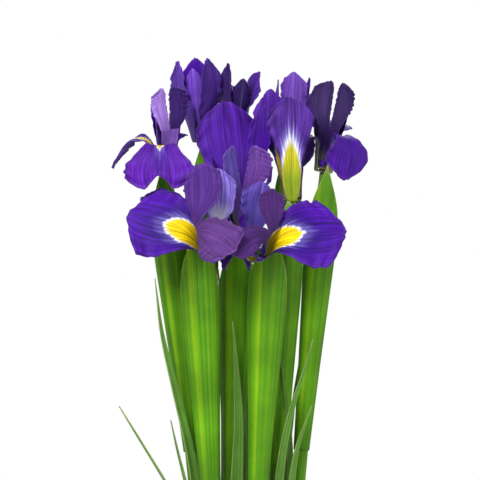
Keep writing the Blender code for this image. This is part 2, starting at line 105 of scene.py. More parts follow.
OPEN_FALL = (10, 15, 30, 78, 92, 92, 96)
FLOWERS = {
    # front left: faces forward, one broad fall spread to the left
    "1": dict(hub=(-21.5, -32, 359.0), tilt=62, toward=-5,
              falls=[fall(161, OPEN_FALL, 60, half=BROAD_FALL_HALF),
                     fall(335, (30, 40, 45, 45), 14, .42),
                     fall(76, (62, 80, 86), 22, .3)],
              standards=[standard(62, (38, 58, 66, 62), 46, .98, sweep=(0, 22, 28, 28)),
                         standard(103, (50, 84, 98, 98), 54, .8, sweep=(0, 32, 55, 55)),
                         standard(262, (20, 25, 25), 9, .45)],
              arms=[arm(150, (6, 10, 18), 24, crest((30, 85, 95, 95), (20, 60, 76, 74), 42, 1.05, dict(length=33, width=1.3, splay=(20, 52, 62, 66)), near=0), twist=(0, 48)),
                    arm(285, (15, 20, 30), 12, closed_crest(10, .22), .6),
                    arm(28, (8, 14, 20), 12, closed_crest(10, .22), .6)]),
    # front right: its mirror, with the broad fall to the right
    "2": dict(hub=(4.6, -32, 358.5), tilt=62, toward=5,
              falls=[fall(8, OPEN_FALL, 61, half=BROAD_FALL_HALF),
                     fall(208, (30, 36, 36), 9, .4),
                     fall(104, (62, 80, 86), 22, .3)],
              standards=[standard(107, (34, 54, 62, 60), 39, .95, sweep=(0, -20, -26, -26)),
                         standard(64, (50, 84, 98, 98), 46, .7, sweep=(0, -26, -52, -52)),
                         standard(300, (12, 12, 12), 5, .3)],
              arms=[arm(16, (3, 6, 12), 23, crest((30, 85, 95, 95), (20, 62, 78, 78), 30, .8, dict(length=27, width=.72, splay=(20, 50, 56, 52)), near=0), twist=(0, -52)),
                    arm(250, (15, 20, 30), 12, closed_crest(10, .22), .6),
                    arm(150, (8, 14, 20), 12, closed_crest(10, .22), .6)]),
    # middle: the back fall stands up behind the crest
    "3": dict(hub=(-3.5, 4, 367.5), tilt=18, toward=-5,
              falls=[fall(108, (10, 14, 18, 22, 24, 20, 18), 78, half=BACK_FALL_HALF),
                     fall(228, (20, 60, 120, 160, 165), 38, .4),
                     fall(348, (12, 16, 18, 18, 18), 46, .35)],
              standards=[standard(51, (15, 18, 14, 8), 75, .76),
                         standard(168, (16, 16, 14), 48, .45),
                         standard(300, (60, 95, 120), 18, .5)],
              arms=[arm(272, (8, 14, 24), 27, crest((10, 30, 40, 40), (0, 5, 3, -3), 29, .62, dict(width=1.15, splay=(0, 12, 10, 3)))),
                    arm(32, (1, 3, 4), 18, closed_crest(10, .2), .5),
                    arm(152, (1, 3, 4), 18, closed_crest(10, .2), .5)]),
    # right of the middle, half open: the front fall shows its outer face
    "4": dict(hub=(25, -2, 388.5), tilt=3, toward=-40,
              falls=[fall(270, (12, 9, 6, 3, 0, -2), 61, half=FAN_FALL_HALF),
                     fall(30, (8, 4, 0, 0, 2), 54, .42),
                     fall(122, (13, 16, 15, 12, 9, 17), 66, .64)],
              standards=[standard(p, (4, 1, 0), 42, .24) for p in (78, 205, 332)],
              arms=[arm(p, (0, 0, 0), 22, closed_crest(8, .15), .3) for p in (270, 30, 150)]),
    # far right
    "5": dict(hub=(43.5, 12, 404.5), tilt=9, toward=75,
              falls=[fall(-50, (8, 8, 12, 108, 172, 184, 188), 55, .66, twist=(0, 0, 0, 20, 30)),
                     fall(203, (8, 9, 12, 158, 177, 180), 42, .45),
                     fall(90, (15, 20, 30, 60, 90, 110), 50, .7)],
              standards=[standard(34, (9, 7, 2), 45, .5),
                         standard(140, (16, 14, 10), 46, .42),
                         standard(-107, (12, 12, 12), 5, .2)],
              arms=[arm(262, (2, 6, 14), 22, crest((10, 30, 26, 20), (0, 1, 1, -1), 28, 1.05, dict(width=.8))),
                    arm(35, (0, 2, 3), 18, closed_crest(14, .2), .5),
                    arm(155, (0, 2, 3), 18, closed_crest(14, .2), .5)]),
    # far left
    "6": dict(hub=(-47.5, -8, 404.5), tilt=8, toward=-20,
              falls=[fall(262, (10, 17, 50, 130, 165, 174, 176), 55, 1.04, notch=.22),
                     fall(170, (10, 14, 26, 90, 135, 150, 155), 50, .8),
                     fall(76, (14, 20, 27, 60, 110, 140), 36, .42)],
              standards=[standard(124, (6, 4, 0), 44, .42),
                         standard(216, (3, 3, 3), 4, .2),
                         standard(32, (14, 12, 6), 42, .3)],
              arms=[arm(304, (2, 8, 18), 22, crest((8, 24, 22, 14), (0, 1, 1, -1), 25, .72, dict(width=1.1))),
                    arm(40, (0, 2, 3), 18, closed_crest(14, .2), .5),
                    arm(160, (0, 2, 3), 18, closed_crest(14, .2), .5)]),
    # top left, still a loose bud
    "7": dict(hub=(-27.5, 20, 422.0), tilt=7, toward=-60,
              falls=[fall(p, (10, 12, 8, 4, 0, 6), 49, .56, half=BUD_FALL_HALF) for p in (205, 325, 85)],
              standards=[standard(145, (6, 3, 2), 38, .28),
                         standard(265, (9, 7, 3), 42, .5),
                         standard(25, (6, 3, 2), 38, .28)],
              arms=[arm(p, (0, 0, 0), 18, closed_crest(6, .12), .3) for p in (205, 325, 85)]),
    # top, behind the middle
    "8": dict(hub=(-8.5, 26, 420.0), tilt=5, toward=60,
              falls=[fall(-4, (5, 6, 3, 1, 14, 52), 45, .6, half=BUD_FALL_HALF, twist=(0, 0, 20, 40)),
                     fall(110, (12, 16, 30, 60, 90), 46, .6),
                     fall(206, (9, 9, 6, 2, -2, -4), 48, .5, half=BUD_FALL_HALF)],
              standards=[standard(157, (4, 2, 0), 36, .22),
                         standard(52, (2, 0, 0), 24, .22),
                         standard(284, (9, 8, 4), 38, .5)],
              arms=[arm(p, (0, 0, 0), 18, closed_crest(8, .15), .35) for p in (-10, 110, 225)]),
    # top right, behind
    "9": dict(hub=(27, 34, 419.5), tilt=3, toward=20,
              falls=[fall(182, (11, 13, 8, 4, 0), 39, .42),
                     fall(75, (12, 16, 30, 80, 110), 46, .7),
                     fall(325, (14, 14, 10, 10, 14), 32, .34)],
              standards=[standard(135, (8, 6, 4), 38, .4),
                         standard(260, (8, 6, 2), 42, .74),
                         standard(15, (8, 6, 4), 38, .4)],
              arms=[arm(p, (0, 0, 0), 18, closed_crest(8, .12), .3) for p in (195, 75, 315)]),
}

# what each seen petal shows: (flower, whorl, its place in the list above). The near-black colours are painted shade,
# and the pale first lobe of flower 6's crest is a painted highlight
LOOKS = {
    ("1", "falls", 0): dict(signal=(.34, .615, .66)),
    ("1", "falls", 1): dict(base=(.05, .012, .20)),
    ("1", "standards", 0): dict(base=(.19, .135, .52), white=(.34, .62), streaks=.8),
    ("1", "standards", 1): dict(base=(.085, .03, .34)),
    ("1", "arms", 0): dict(base=(.08, .03, .22), lobe0=dict(back=(.068, .020, .190)), lobe1=dict(back=(.098, .034, .190))),
    ("2", "falls", 0): dict(signal=(.32, .585, .68)),
    ("2", "standards", 0): dict(base=(.085, .055, .33), streaks=.5),
    ("2", "standards", 1): dict(base=(.10, .06, .36), streaks=.35),
    # flower 2's crest: a darkened copy of the crest colours, painted shade
    ("2", "arms", 0): dict(back=(.052, .014, .120), base=(.03, .010, .09)),
    ("3", "falls", 0): dict(base=(.072, .010, .295), deep=(.058, .007, .25), signal=(.10, .34, .40), yellow=.0, glow=.6),
    ("3", "standards", 0): dict(base=(.058, .007, .28)),
    ("3", "arms", 0): dict(back=(.12, .05, .30), base=(.07, .045, .26), lobe0=dict(back=(.075, .045, .25)), lobe1=dict(back=(.125, .042, .27))),
    ("4", "falls", 0): dict(base=(.046, .008, .200), signal=(.40, .60, .74), show_out=1.0),
    ("4", "falls", 2): dict(base=(.075, .012, .30)),
    ("5", "falls", 0): dict(base=(.052, .006, .24), signal=(.22, .34, .5), yellow=.3),
    # flower 5's crest and standards: near-black copies of the violet, painted shade
    ("5", "arms", 0): dict(back=(.026, .009, .080), base=(.024, .009, .07)),
    ("5", "falls", 1): dict(base=(.040, .010, .16)),
    ("5", "standards", 0): dict(base=(.030, .010, .10)),
    ("5", "standards", 1): dict(base=(.030, .010, .10)),
    ("6", "falls", 0): dict(base=(.085, .010, .30), deep=(.045, .006, .22), signal=(.34, .50, .34)),
    ("6", "falls", 1): dict(base=(.05, .008, .22)),
    # flower 6's crest: a pale first lobe with a painted highlight and a near-black second lobe in painted shade
    ("6", "arms", 0): dict(back=(.20, .09, .42), base=(.05, .03, .18), lobe0=dict(back=(.31, .17, .58)), lobe1=dict(back=(.034, .010, .12))),
    ("7", "falls", 0): dict(base=(.075, .022, .31), show_out=.0),
    ("7", "falls", 1): dict(base=(.045, .010, .21), show_out=.0),
    ("7", "standards", 1): dict(base=(.14, .05, .45)),
    ("8", "falls", 0): dict(base=(.060, .012, .24)),
    # flower 8's back fall and standard: near-black, painted shade
    ("8", "falls", 2): dict(base=(.012, .002, .085), show_out=.0),
    ("8", "standards", 2): dict(base=(.006, .001, .05)),
    ("9", "falls", 0): dict(base=(.085, .020, .30), show_out=.1),
    ("9", "falls", 2): dict(base=(.10, .03, .33)),
    ("9", "standards", 1): dict(base=(.145, .056, .39)),
}

# ---- green parts --------------------------------------------------------
VASE_HEIGHT, VASE_FLOOR = 200.0, 8.0
GAP = 0.4
SHEATHS = {
    "1": dict(collar=(-29.5, -19, 360), rim=(-21, -18), length=140, width=21),
    "2": dict(collar=(11.5, -19, 360), rim=(4, -22), length=140, width=21),
    "3": dict(collar=(-6.5, 2, 356), rim=(-11, 3), length=130, width=20),
    "4": dict(collar=(22.5, 0, 376), rim=(15.5, 2), length=140, width=18),
    "5": dict(collar=(44.5, 10, 394), rim=(27, 6), length=150, width=17),
    "6": dict(collar=(-49.0, -6, 394), rim=(-29, 3), length=150, width=18),
    "7": dict(collar=(-26.5, 20, 409), rim=(-21, 18), length=130, width=15),
    "8": dict(collar=(-6.5, 26, 407), rim=(-5, 24), length=130, width=15),
    "9": dict(collar=(24.0, 32, 407), rim=(12, 22), length=130, width=15),
}
LEAF_HALF = (.03, .45, .75, .95, 1.0, 1.0, .9)
LEAVES = {
    "left_long": dict(path=((-54, -14, 344), (-50, -16, 313), (-43, -18, 283), (-35, -13, 249), (-31, -10.5, 226), (-27, -8, 190), (-23, -6, 90)), half=3.4, face=(.5, -.85, 0)),
    "left_far": dict(path=((-75, -14, 270), (-62, -16, 249), (-48.5, -14, 226), (-34, -9, 200), (-33.3, -4, 165), (-32.5, -3, 120)), half=3.0, face=(-1, -.3, .3)),
    "left_short": dict(path=((-46, 14, 258), (-42, 13, 240), (-37, 12, 220), (-32.5, 12, 200), (-30, 12, 100)), half=2.8, face=(-1, -.6, 0)),
    "centre": dict(path=((-9.5, -12, 319), (-7.5, -12, 296), (-6, -12, 261), (-7, -11, 226), (-8, -9, 190), (-8, -8, 60)), half=4.6, face=(0, -1, 0)),
    "right_tall": dict(path=((37, -8, 308), (32, -10, 290), (26, -12, 272), (20.5, -13, 249), (17.5, -13, 226), (15.5, -11, 200), (13, -9, 70)), half=3.6, face=(.4, -1, 0)),
    "right_short": dict(path=((36.5, -4, 269), (31.5, -5, 255), (28, -6, 244), (25, -7, 226), (23, -8, 200), (21, -8, 110)), half=3.0, face=(.2, -1, 0)),
    "right_inner": dict(path=((18, -9, 302), (20.5, -6, 280), (23, -3, 258), (24, -2, 235), (22.5, -1, 200), (20, 0, 90)), half=2.6, face=(.2, -1, 0)),
    "right_back": dict(path=((22.5, 14, 288), (23.5, 14, 262), (24, 15, 235), (22, 15, 200), (20, 13, 80)), half=3.0, face=(0, -1, 0)),
    "back_left": dict(path=((-18, 36, 345), (-16, 36, 310), (-14, 35, 270), (-13, 33, 226), (-13, 31, 200), (-10, 25, 60)), half=4.0, face=(0, 1, 0)),
    "back_right": dict(path=((2, 38, 332), (0, 37, 300), (-2, 36, 262), (-2, 34, 226), (-2, 31, 195), (-1, 26, 60)), half=5.4, face=(0, 1, 0)),
    "back_low": dict(path=((30, 26, 292), (26, 26, 262), (22, 25, 232), (19.5, 23.5, 200), (17, 20, 80)), half=3.4, face=(.4, 1, 0)),
}


# ---- curves -------------------------------------------------------------
def unit(v):
    v = np.asarray(v, float)
    return v / np.maximum(np.linalg.norm(v, axis=-1, keepdims=True), 1e-12)


def along(s, values):
    """Values that are evenly spaced from 0 to 1, read at s on a smooth curve that doesn't overshoot them."""
    v = np.asarray(values, float)
    n = len(v) - 1
    slope = np.gradient(v)
    step = np.diff(v)
    turning = np.zeros(n + 1, bool)
    turning[1:-1] = step[:-1] * step[1:] <= 0
    slope[turning] = 0
    x = np.clip(np.asarray(s, float), 0, 1) * n
    i = np.minimum(x.astype(int), n - 1)
    f = x - i
    return (v[i] * (1 + 2 * f) * (1 - f) ** 2 + v[i + 1] * f * f * (3 - 2 * f)
            + slope[i] * f * (1 - f) ** 2 - slope[i + 1] * f * f * (1 - f))


def ramp(x, low, high):
    f = np.clip((np.asarray(x, float) - low) / (high - low), 0, 1)
    return f * f * (3 - 2 * f)


def mix(a, b, f):
    a, b, f = np.asarray(a, float), np.asarray(b, float), np.asarray(f, float)[..., None]
    return a * (1 - f) + b * f


def ripple(x, seed, low, high, terms=6):
    """A smooth wave from -1 to 1 with a fixed mixture of frequencies."""
    r = np.random.default_rng(seed)
    f, p, w = r.uniform(low, high, terms), r.uniform(0, 2 * math.pi, terms), r.uniform(.5, 1, terms)
    x = np.asarray(x, float)[..., None]
    return (np.sin(2 * math.pi * f * x + p) * w).sum(-1) / w.sum() * 1.6


def flower_frame(tilt, toward):
    t, w = math.radians(tilt), math.radians(toward)
    axis = np.array([math.sin(t) * math.sin(w), -math.sin(t) * math.cos(w), math.cos(t)])
    right = np.array([1.0, 0.0, 0.0])
    right = unit(right - axis * (right @ axis))
    return axis, right, np.cross(axis, right)


class Ribbon:
    def __init__(self, start, forward, side, length):
        middle = 0.5 * (forward[1:] + forward[:-1])
        self.point = np.vstack([start, start + np.cumsum(middle, axis=0) * length / (len(forward) - 1)])
        self.side = side
        self.face = np.cross(forward, side)

    def at(self, s):
        x = np.clip(s, 0, 1) * (len(self.point) - 1)
        i = np.minimum(x.astype(int), len(self.point) - 2)
        f = (x - i)[..., None]

        def read(a):
            return a[i] * (1 - f) + a[i + 1] * f

        return read(self.point), unit(read(self.side)), unit(read(self.face))


def petal_ribbon(start, axis, out, petal):
    s = np.linspace(0, 1, STEPS + 1)
    lean, sweep = np.radians(along(s, petal["lean"])), np.radians(along(s, petal.get("sweep", (0, 0))))
    away = np.cos(sweep)[:, None] * out + np.sin(sweep)[:, None] * np.cross(axis, out)
    forward = np.cos(lean)[:, None] * axis + np.sin(lean)[:, None] * away
    side = np.cross(axis, away)
    side = unit(side - forward * np.sum(side * forward, axis=1)[:, None])
    turn = np.radians(along(s, petal["twist"]))[:, None]
    side = side * np.cos(turn) + np.cross(forward, side) * np.sin(turn)
    return Ribbon(start, forward, side, petal["length"])


def petal_grid(ribbon, rows, columns, half, cup, round_end, frill, seed, ragged=.02, frill_waves=(2, 7), notch=0.0, twin=0, near=1.0):
    """Middle surface of a petal, with a rounded tip, a slightly uneven margin and a rim that waves up and down."""
    s, t = np.meshgrid(np.linspace(0, 1, rows), np.linspace(-1, 1, columns), indexing="ij")
    reach = s * (1 - round_end * t * t * s * s - notch * s ** 4 * np.exp(-(t / .35) ** 2)) * (1 - ragged * .6 * s ** 4 * (1 + ripple(t, seed, 1, 6)) / 2)
    point, side, face = ribbon.at(reach)
    width = along(reach, half)
    width = np.where(t * twin > 0, near * (1 - .3 * reach * reach), width)
    width = width * (1 + ragged * np.where(t < 0, ripple(s, seed + 1, 2, 11), ripple(s, seed + 2, 2, 11)) * np.abs(t) ** 2)
    turn = np.radians(along(reach, cup))
    turn = np.where(np.abs(turn) < 1e-3, 1e-3, turn)
    across, lift = width * np.sin(turn * t) / turn, width * (1 - np.cos(turn * t)) / turn
    up = face * np.cos(turn * t)[..., None] - side * np.sin(turn * t)[..., None]
    rim = np.maximum(np.abs(t) ** 3, ramp(s, .72, 1.0)) * ramp(s, .12, .5)
    wave = np.where(t < 0, ripple(s, seed + 3, *frill_waves), ripple(s, seed + 4, *frill_waves)) * np.abs(t) + ripple(t, seed + 5, .5, 3) * (1 - np.abs(t)) * ramp(s, .6, 1)
    body = ripple(s * .8 + t * .35, seed + 6, .6, 2.0) * ramp(s, .2, .7)
    lifted = frill * (rim * wave + .22 * body)
    return point + side * across[..., None] + face * lift[..., None] + up * lifted[..., None], s, t


class Sheet:
    """Joined grids that thicken into one closed body and carry their colours and coordinates."""

    def __init__(self):
        self.points, self.quads, self.tris, self.inner, self.outer, self.lie, self.count = [], [], [], [], [], [], 0

    def put(self, points, inner, outer, lie):
        points = np.asarray(points, float).reshape(-1, 3)
        self.points.append(points)
        self.inner.append(np.broadcast_to(np.asarray(inner, float).reshape(-1, 3), points.shape))
        self.outer.append(np.broadcast_to(np.asarray(outer, float).reshape(-1, 3), points.shape))
        self.lie.append(np.broadcast_to(np.asarray(lie, float).reshape(-1, 3), points.shape))
        self.count += len(points)

    def add_grid(self, grid, inner, outer, lie, root=None, wrap=False):
        rows, columns = grid.shape[:2]
        skip = 0 if root is None else 1
        index = self.count + np.arange((rows - skip) * columns).reshape(rows - skip, columns)
        self.put(grid[skip:], inner[skip:], outer[skip:], lie[skip:])
        if root is not None:
            index = np.vstack([np.asarray(root)[None], index])
        full = np.hstack([index, index[:, :1]]) if wrap else index
        self.quads.append(np.stack([full[:-1, :-1], full[1:, :-1], full[1:, 1:], full[:-1, 1:]], -1).reshape(-1, 4))
        return index

    def solid(self, thickness):
        v = np.vstack(self.points)
        q = np.vstack(self.quads) if self.quads else np.zeros((0, 4), int)
        t = np.array(self.tris, int).reshape(-1, 3)
        normal = np.zeros_like(v)
        flat = np.cross(v[q[:, 2]] - v[q[:, 0]], v[q[:, 3]] - v[q[:, 1]])
        for k in range(4):
            np.add.at(normal, q[:, k], flat)
        flat = np.cross(v[t[:, 1]] - v[t[:, 0]], v[t[:, 2]] - v[t[:, 0]])
        for k in range(3):
            np.add.at(normal, t[:, k], flat)
        normal = unit(normal) * thickness / 2
        n = len(v)
        ends = np.vstack([np.stack([q[:, k], q[:, (k + 1) % 4]], 1) for k in range(4)] + [np.stack([t[:, k], t[:, (k + 1) % 3]], 1) for k in range(3)])
        code, back = ends[:, 0] * n + ends[:, 1], ends[:, 1] * n + ends[:, 0]
        open_edges = ends[~np.isin(code, back)]
        a, b = open_edges[:, 0], open_edges[:, 1]
        rim = np.stack([b, a, a + n, b + n], 1)
        quads = np.vstack([q, q[:, ::-1] + n, rim])
        tris = np.vstack([t, t[:, ::-1] + n])
        lie = np.vstack(self.lie)
        return dict(points=np.vstack([v + normal, v - normal]), faces=quads.tolist() + tris.tolist(),
                    tint=np.vstack([np.vstack(self.inner), np.vstack(self.outer)]), lie=np.vstack([lie, lie + (0, 0, 3.7)]))


# ---- paint --------------------------------------------------------------
def paint_fall(s, t, look, seed):
    """Violet blade, a pointed yellow signal with a white and blue fringe, a lime haft."""
    base, deep = look.get("base", VIOLET), look.get("deep", DEEP)
    s0, s1, wide = look.get("signal", (.36, .56, .66))
    yellow_share = look.get("yellow", 1.0)
    comb = ripple(t, seed + 11, 9, 26, 8)
    end = s1 - (s1 - s0) * (np.abs(t) / wide) ** 1.4
    f = end - s
    yellow = ramp(f + .012 * comb, -.004, .018) * yellow_share
    white = ramp(f + .030 * comb, -.026, .0)
    glow = ramp(f + .055 * comb, -.16, -.025)
    dark = ramp(f, -.40, -.12)
    margin = np.maximum(ramp(np.abs(t), .82, 1.0), ramp(s, .93, 1.0))
    ray = ripple(t, seed + 13, 14, 34, 9)
    inner = mix(base, deep, dark * .8)
    inner = mix(inner, np.asarray(base) * 1.9 + .008, np.clip(ray, 0, 1) * ramp(s, .35, .6) * .30)
    inner = mix(inner, MAUVE, margin * .22)
    inner = mix(inner, PALE_BLUE, glow * look.get("glow", .42) * np.clip(.55 + .6 * ray, 0, 1))
    inner = mix(inner, WHITE, white)
    inner = mix(inner, YELLOW, yellow)
    haft = ramp(s, .30, .12)
    inner = mix(inner, LIME, haft * .7)
    inner = mix(inner, DUSK, ramp(np.abs(t), .72, .98) * ramp(s, .46, .30) * .75)
    rib = ramp(np.abs(t), .10, .0)
    ray_out = np.clip(ripple(t, seed + 14, 12, 30, 9), 0, 1)
    outer = mix(np.asarray(base) * 1.1 + np.array([.006, .006, .0]), MAUVE, .15 + .15 * rib)
    outer = mix(outer, np.asarray(base) * 2.0 + .012, ray_out * ramp(s, .3, .6) * .35)
    out_end = s1 - (s1 - s0) * (np.abs(t) / wide) ** 1.4
    g = out_end - s
    strength = look.get("show_out", .35)
    outer = mix(outer, PALE_BLUE, ramp(g + .06 * comb, -.20, -.04) * .5 * strength)
    outer = mix(outer, WHITE, ramp(g + .05 * comb, -.09, .01) * .85 * strength)
    outer = mix(outer, (.60, .56, .02), ramp(g + .03 * comb, .0, .07) * strength)
    outer = mix(outer, (.27, .38, .02), ramp(s, .42, .18) * np.clip(.1 + 1.6 * strength, 0, 1) * ramp(np.abs(t), .95, .7))
    outer = mix(outer, (.12, .19, .01), np.clip(ripple(t, seed + 15, 4, 12, 6) * 1.3, 0, 1) * ramp(s, .62, .3) * strength * .7 * ramp(g, .02, .08))
    outer = mix(outer, DUSK, ramp(np.abs(t), .78, 1.0) * ramp(s, .55, .35) * .6)
    return inner, outer


def paint_standard(s, t, look, seed):
    base = look.get("base", VIOLET)
    comb = ripple(t, seed + 12, 6, 20, 7)
    low, high = look.get("white", (.02, .16))
    # painted shade: the inner face darkens over its lower part, inside the cup of the standards
    inner = mix(base, np.asarray(base) * .55, ramp(s, .75, .35) * .6)
    inner = mix(inner, MAUVE, ramp(s, .75, 1.0) * .25)
    ray = np.clip(ripple(t, seed + 16, 10, 26, 8), 0, 1)
    inner = mix(inner, np.asarray(base) * 2.2 + .02, ray * look.get("streaks", .3) * ramp(s, .15, .5))
    inner = mix(inner, WHITE, ramp(s + .06 * comb, high, low) * .8 * ramp(np.abs(t), 1.0, .3))
    outer = mix(np.asarray(base) * 1.05, MAUVE, .12)
    outer = mix(outer, np.asarray(base) * 1.9 + .01, ray * .35 * ramp(s, .1, .4))
    outer = mix(outer, PALE_BLUE, ramp(np.abs(t), .12, 0) * .2)
    outer = mix(outer, LIME, ramp(s, .2, 0.0) * .5)
    return inner, outer


def paint_crest(s, t, look, seed):
    base, back = look.get("base", BLUISH), look.get("back", MAUVE)
    margin = np.maximum(ramp(np.abs(t), .86, 1.0), ramp(s, .93, 1.0))
    ray = np.clip(ripple(t, seed + 17, 6, 18, 8), 0, 1)
    # painted shade: the inner face darkens towards the root of the lobe
    inner = mix(base, np.asarray(base) * .5, ramp(s, .7, .1) * .8)
    inner = mix(inner, np.asarray(base) * 1.8 + .01, ray * .35)
    inner = mix(inner, LILAC, margin * .3)
    # painted shade: the back darkens towards the root of the lobe
    outer = mix(back, np.asarray(back) * .72, ramp(s, .55, .0) * .6)
    outer = mix(outer, np.asarray(back) * 1.5 + .01, ray * .3)
    outer = mix(outer, np.asarray(back) * 1.7 + .02, margin * .5)
    return inner, outer


def paint_strap(s, t, look, seed):
    back = look.get("back", MAUVE)
    # painted shade: the inner face darkens towards the hub, under the arm
    inner = mix(BLUISH, DUSK, ramp(s, 1, .2) * .6)
    outer = mix(back, (.20, .20, .16), ramp(s, .55, 0) * .45)
    return inner, outer


def lie_of(s, t, seed, across=1.0):
    return np.stack([t * across, s, np.full(s.shape, seed * .37)], -1)


# ---- petals -------------------------------------------------------------
def add_fall(sheet, start, axis, out, petal, seed):
    half = np.array(petal["half"]) * petal["width"]
    half[0] = FALL_HALF[0]
    big = petal["length"] * petal["width"] > 26
    rows, columns = (64, 41) if big else (34, 17)
    frill = petal["look"].get("frill", 1.5 * petal["width"])
    grid, s, t = petal_grid(petal_ribbon(start, axis, out, petal), rows, columns, half, FALL_CUP, .2, frill, seed, ragged=.028, notch=petal["notch"])
    inner, outer = paint_fall(s, t, petal["look"], seed)
    return sheet.add_grid(grid, inner, outer, lie_of(s, t, seed))[0]


def add_standard(sheet, start, axis, out, petal, seed):
    half = np.array(STANDARD_HALF) * petal["width"]
    half[0] = STANDARD_HALF[0]
    grid, s, t = petal_grid(petal_ribbon(start, axis, out, petal), 48, 25, half, STANDARD_CUP, .18, petal["look"].get("frill", 1.2 * petal["width"]), seed, ragged=.03)
    inner, outer = paint_standard(s, t, petal["look"], seed)
    return sheet.add_grid(grid, inner, outer, lie_of(s, t, seed, .7))[0]


def add_arm(sheet, start, axis, out, petal, seed):
    half = np.array(ARM_HALF) * petal["width"]
    ribbon = petal_ribbon(start, axis, out, petal)
    lobe_columns = 19
    grid, s, t = petal_grid(ribbon, 18, lobe_columns * 2 - 1, half, ARM_CUP, 0, 0, seed, ragged=0)
    inner, outer = paint_strap(s, t, petal["look"], seed)
    index = sheet.add_grid(grid, inner, outer, lie_of(s, t, seed, .5))
    _, side, face = (q[0] for q in ribbon.at(np.array([1.0])))
    forward = np.cross(side, face)
    for first, sign, lobe in ((0, -1, petal["lobes"][0]), (lobe_columns - 1, 1, petal["lobes"][1])):
        root = index[-1][first:first + lobe_columns]
        edge = grid[-1][first:first + lobe_columns]
        u = np.linspace(0, 1, STEPS + 1)
        bend = np.radians(along(u, lobe["bend"]))[:, None]
        splay = np.radians(along(u, lobe["splay"]))[:, None] * sign
        ahead = np.cos(bend) * forward + np.sin(bend) * face
        heading = np.cos(splay) * ahead + np.sin(splay) * side
        across = np.cos(splay) * side - np.sin(splay) * ahead
        ribbon2 = Ribbon(0.5 * (edge[0] + edge[-1]), heading, across, lobe["length"])
        look = dict(petal["look"], **petal["look"].get("lobe%d" % max(sign, 0), {}))
        grid2, s2, t2 = petal_grid(ribbon2, 44, lobe_columns, np.array(LOBE_HALF) * lobe["width"], np.array(LOBE_CUP) * lobe["cup"], .16,
                                   look.get("frill", 1.3 * lobe["width"]), seed + sign * 3 + 40, ragged=.05, frill_waves=(3, 10),
                                   twin=-sign if lobe["near"] else 0, near=lobe["near"] * half[-1] / 2)
        grid2 = grid2 + (edge - grid2[0])[None] * (ramp(s2, .28, 0.0))[..., None]
        inner, outer = paint_crest(s2, t2, look, seed)
        sheet.add_grid(grid2, inner, outer, lie_of(s2, t2, seed + sign, .6), root)
    return index[0]


def whorl(name, kind, level, radius, add, seed):
    flower = FLOWERS[name]
    petals = [dict(petal, look=LOOKS.get((name, kind, k), {})) for k, petal in enumerate(flower[kind])]
    axis, right, up = flower_frame(flower["tilt"], flower["toward"])
    centre = np.array(flower["hub"], float) + axis * level * DISC_STEP
    sheet = Sheet()
    sheet.put(centre, (.12, .2, .03), (.12, .2, .03), (0, 0, seed))
    ring = []
    for k, petal in enumerate(sorted(petals, key=lambda p: p["phi"] % 360)):
        phi = math.radians(petal["phi"])
        out = right * math.cos(phi) + up * math.sin(phi)
        ring += list(add(sheet, centre + out * radius, axis, out, petal, seed + k * 100))
    sheet.tris += [(0, ring[i], ring[(i + 1) % len(ring)]) for i in range(len(ring))]
    return sheet.solid(.55)


# ---- stems, bracts, leaves, vase ----------------------------------------
def smooth_path(points, count):
    p = np.array(points, float)
    ends = np.vstack([2 * p[0] - p[1], p, 2 * p[-1] - p[-2]])
    fine = []
    for i in range(1, len(p)):
        a, b, c, d = ends[i - 1], ends[i], ends[i + 1], ends[i + 2]
        for t in np.linspace(0, 1, 24, endpoint=False):
            fine.append(.5 * (2 * b + (c - a) * t + (2 * a - 5 * b + 4 * c - d) * t * t + (3 * b - a - 3 * c + d) * t ** 3))
    fine = np.array(fine + [p[-1]])
    run = np.concatenate([[0], np.cumsum(np.linalg.norm(np.diff(fine, axis=0), axis=1))])
    want = np.linspace(0, run[-1], count)
    return np.stack([np.interp(want, run, fine[:, k]) for k in range(3)], axis=1), run[-1]


class Tube:
    """A round body along a curve: a point for every share of its length, angle and height over its skin."""

    def __init__(self, points, radii, rows):
        points = np.array(points, float)
        gaps = np.linalg.norm(np.diff(points, axis=0), axis=1)
        at = np.concatenate([[0], np.cumsum(gaps)]) / gaps.sum()
        self.path, self.length = smooth_path(points, rows)
        self.rows = rows
        self.u = np.linspace(0, 1, rows)
        radii = np.array(radii, float)
        self.wide, self.deep = self.smooth(np.interp(self.u, at, radii[:, 0])), self.smooth(np.interp(self.u, at, radii[:, 1]))
        forward = unit(np.gradient(self.path, axis=0))
        front = np.array([0.0, -1.0, 0.0])
        self.b = unit(front - forward * (forward @ front)[:, None])
        self.a = np.cross(self.b, forward)

    def smooth(self, values, reach=3):
        kernel = np.hanning(2 * reach + 3)[1:-1]
        padded = np.pad(values, reach, mode="edge")
        return np.convolve(padded, kernel / kernel.sum(), mode="valid")

    def at(self, u, angle, off):
        def read(a):
            if a.ndim == 1:
                return np.interp(u, self.u, a)
            return np.stack([np.interp(u, self.u, a[:, k]) for k in range(a.shape[1])], -1)
        wide, deep = read(self.wide) + off, read(self.deep) + off
        return read(self.path) + read(self.a) * (np.cos(angle) * wide)[..., None] + read(self.b) * (np.sin(angle) * deep)[..., None]


def curve_point(a, b, c, t):
    return (1 - t) ** 2 * a + 2 * t * (1 - t) * b + t * t * c


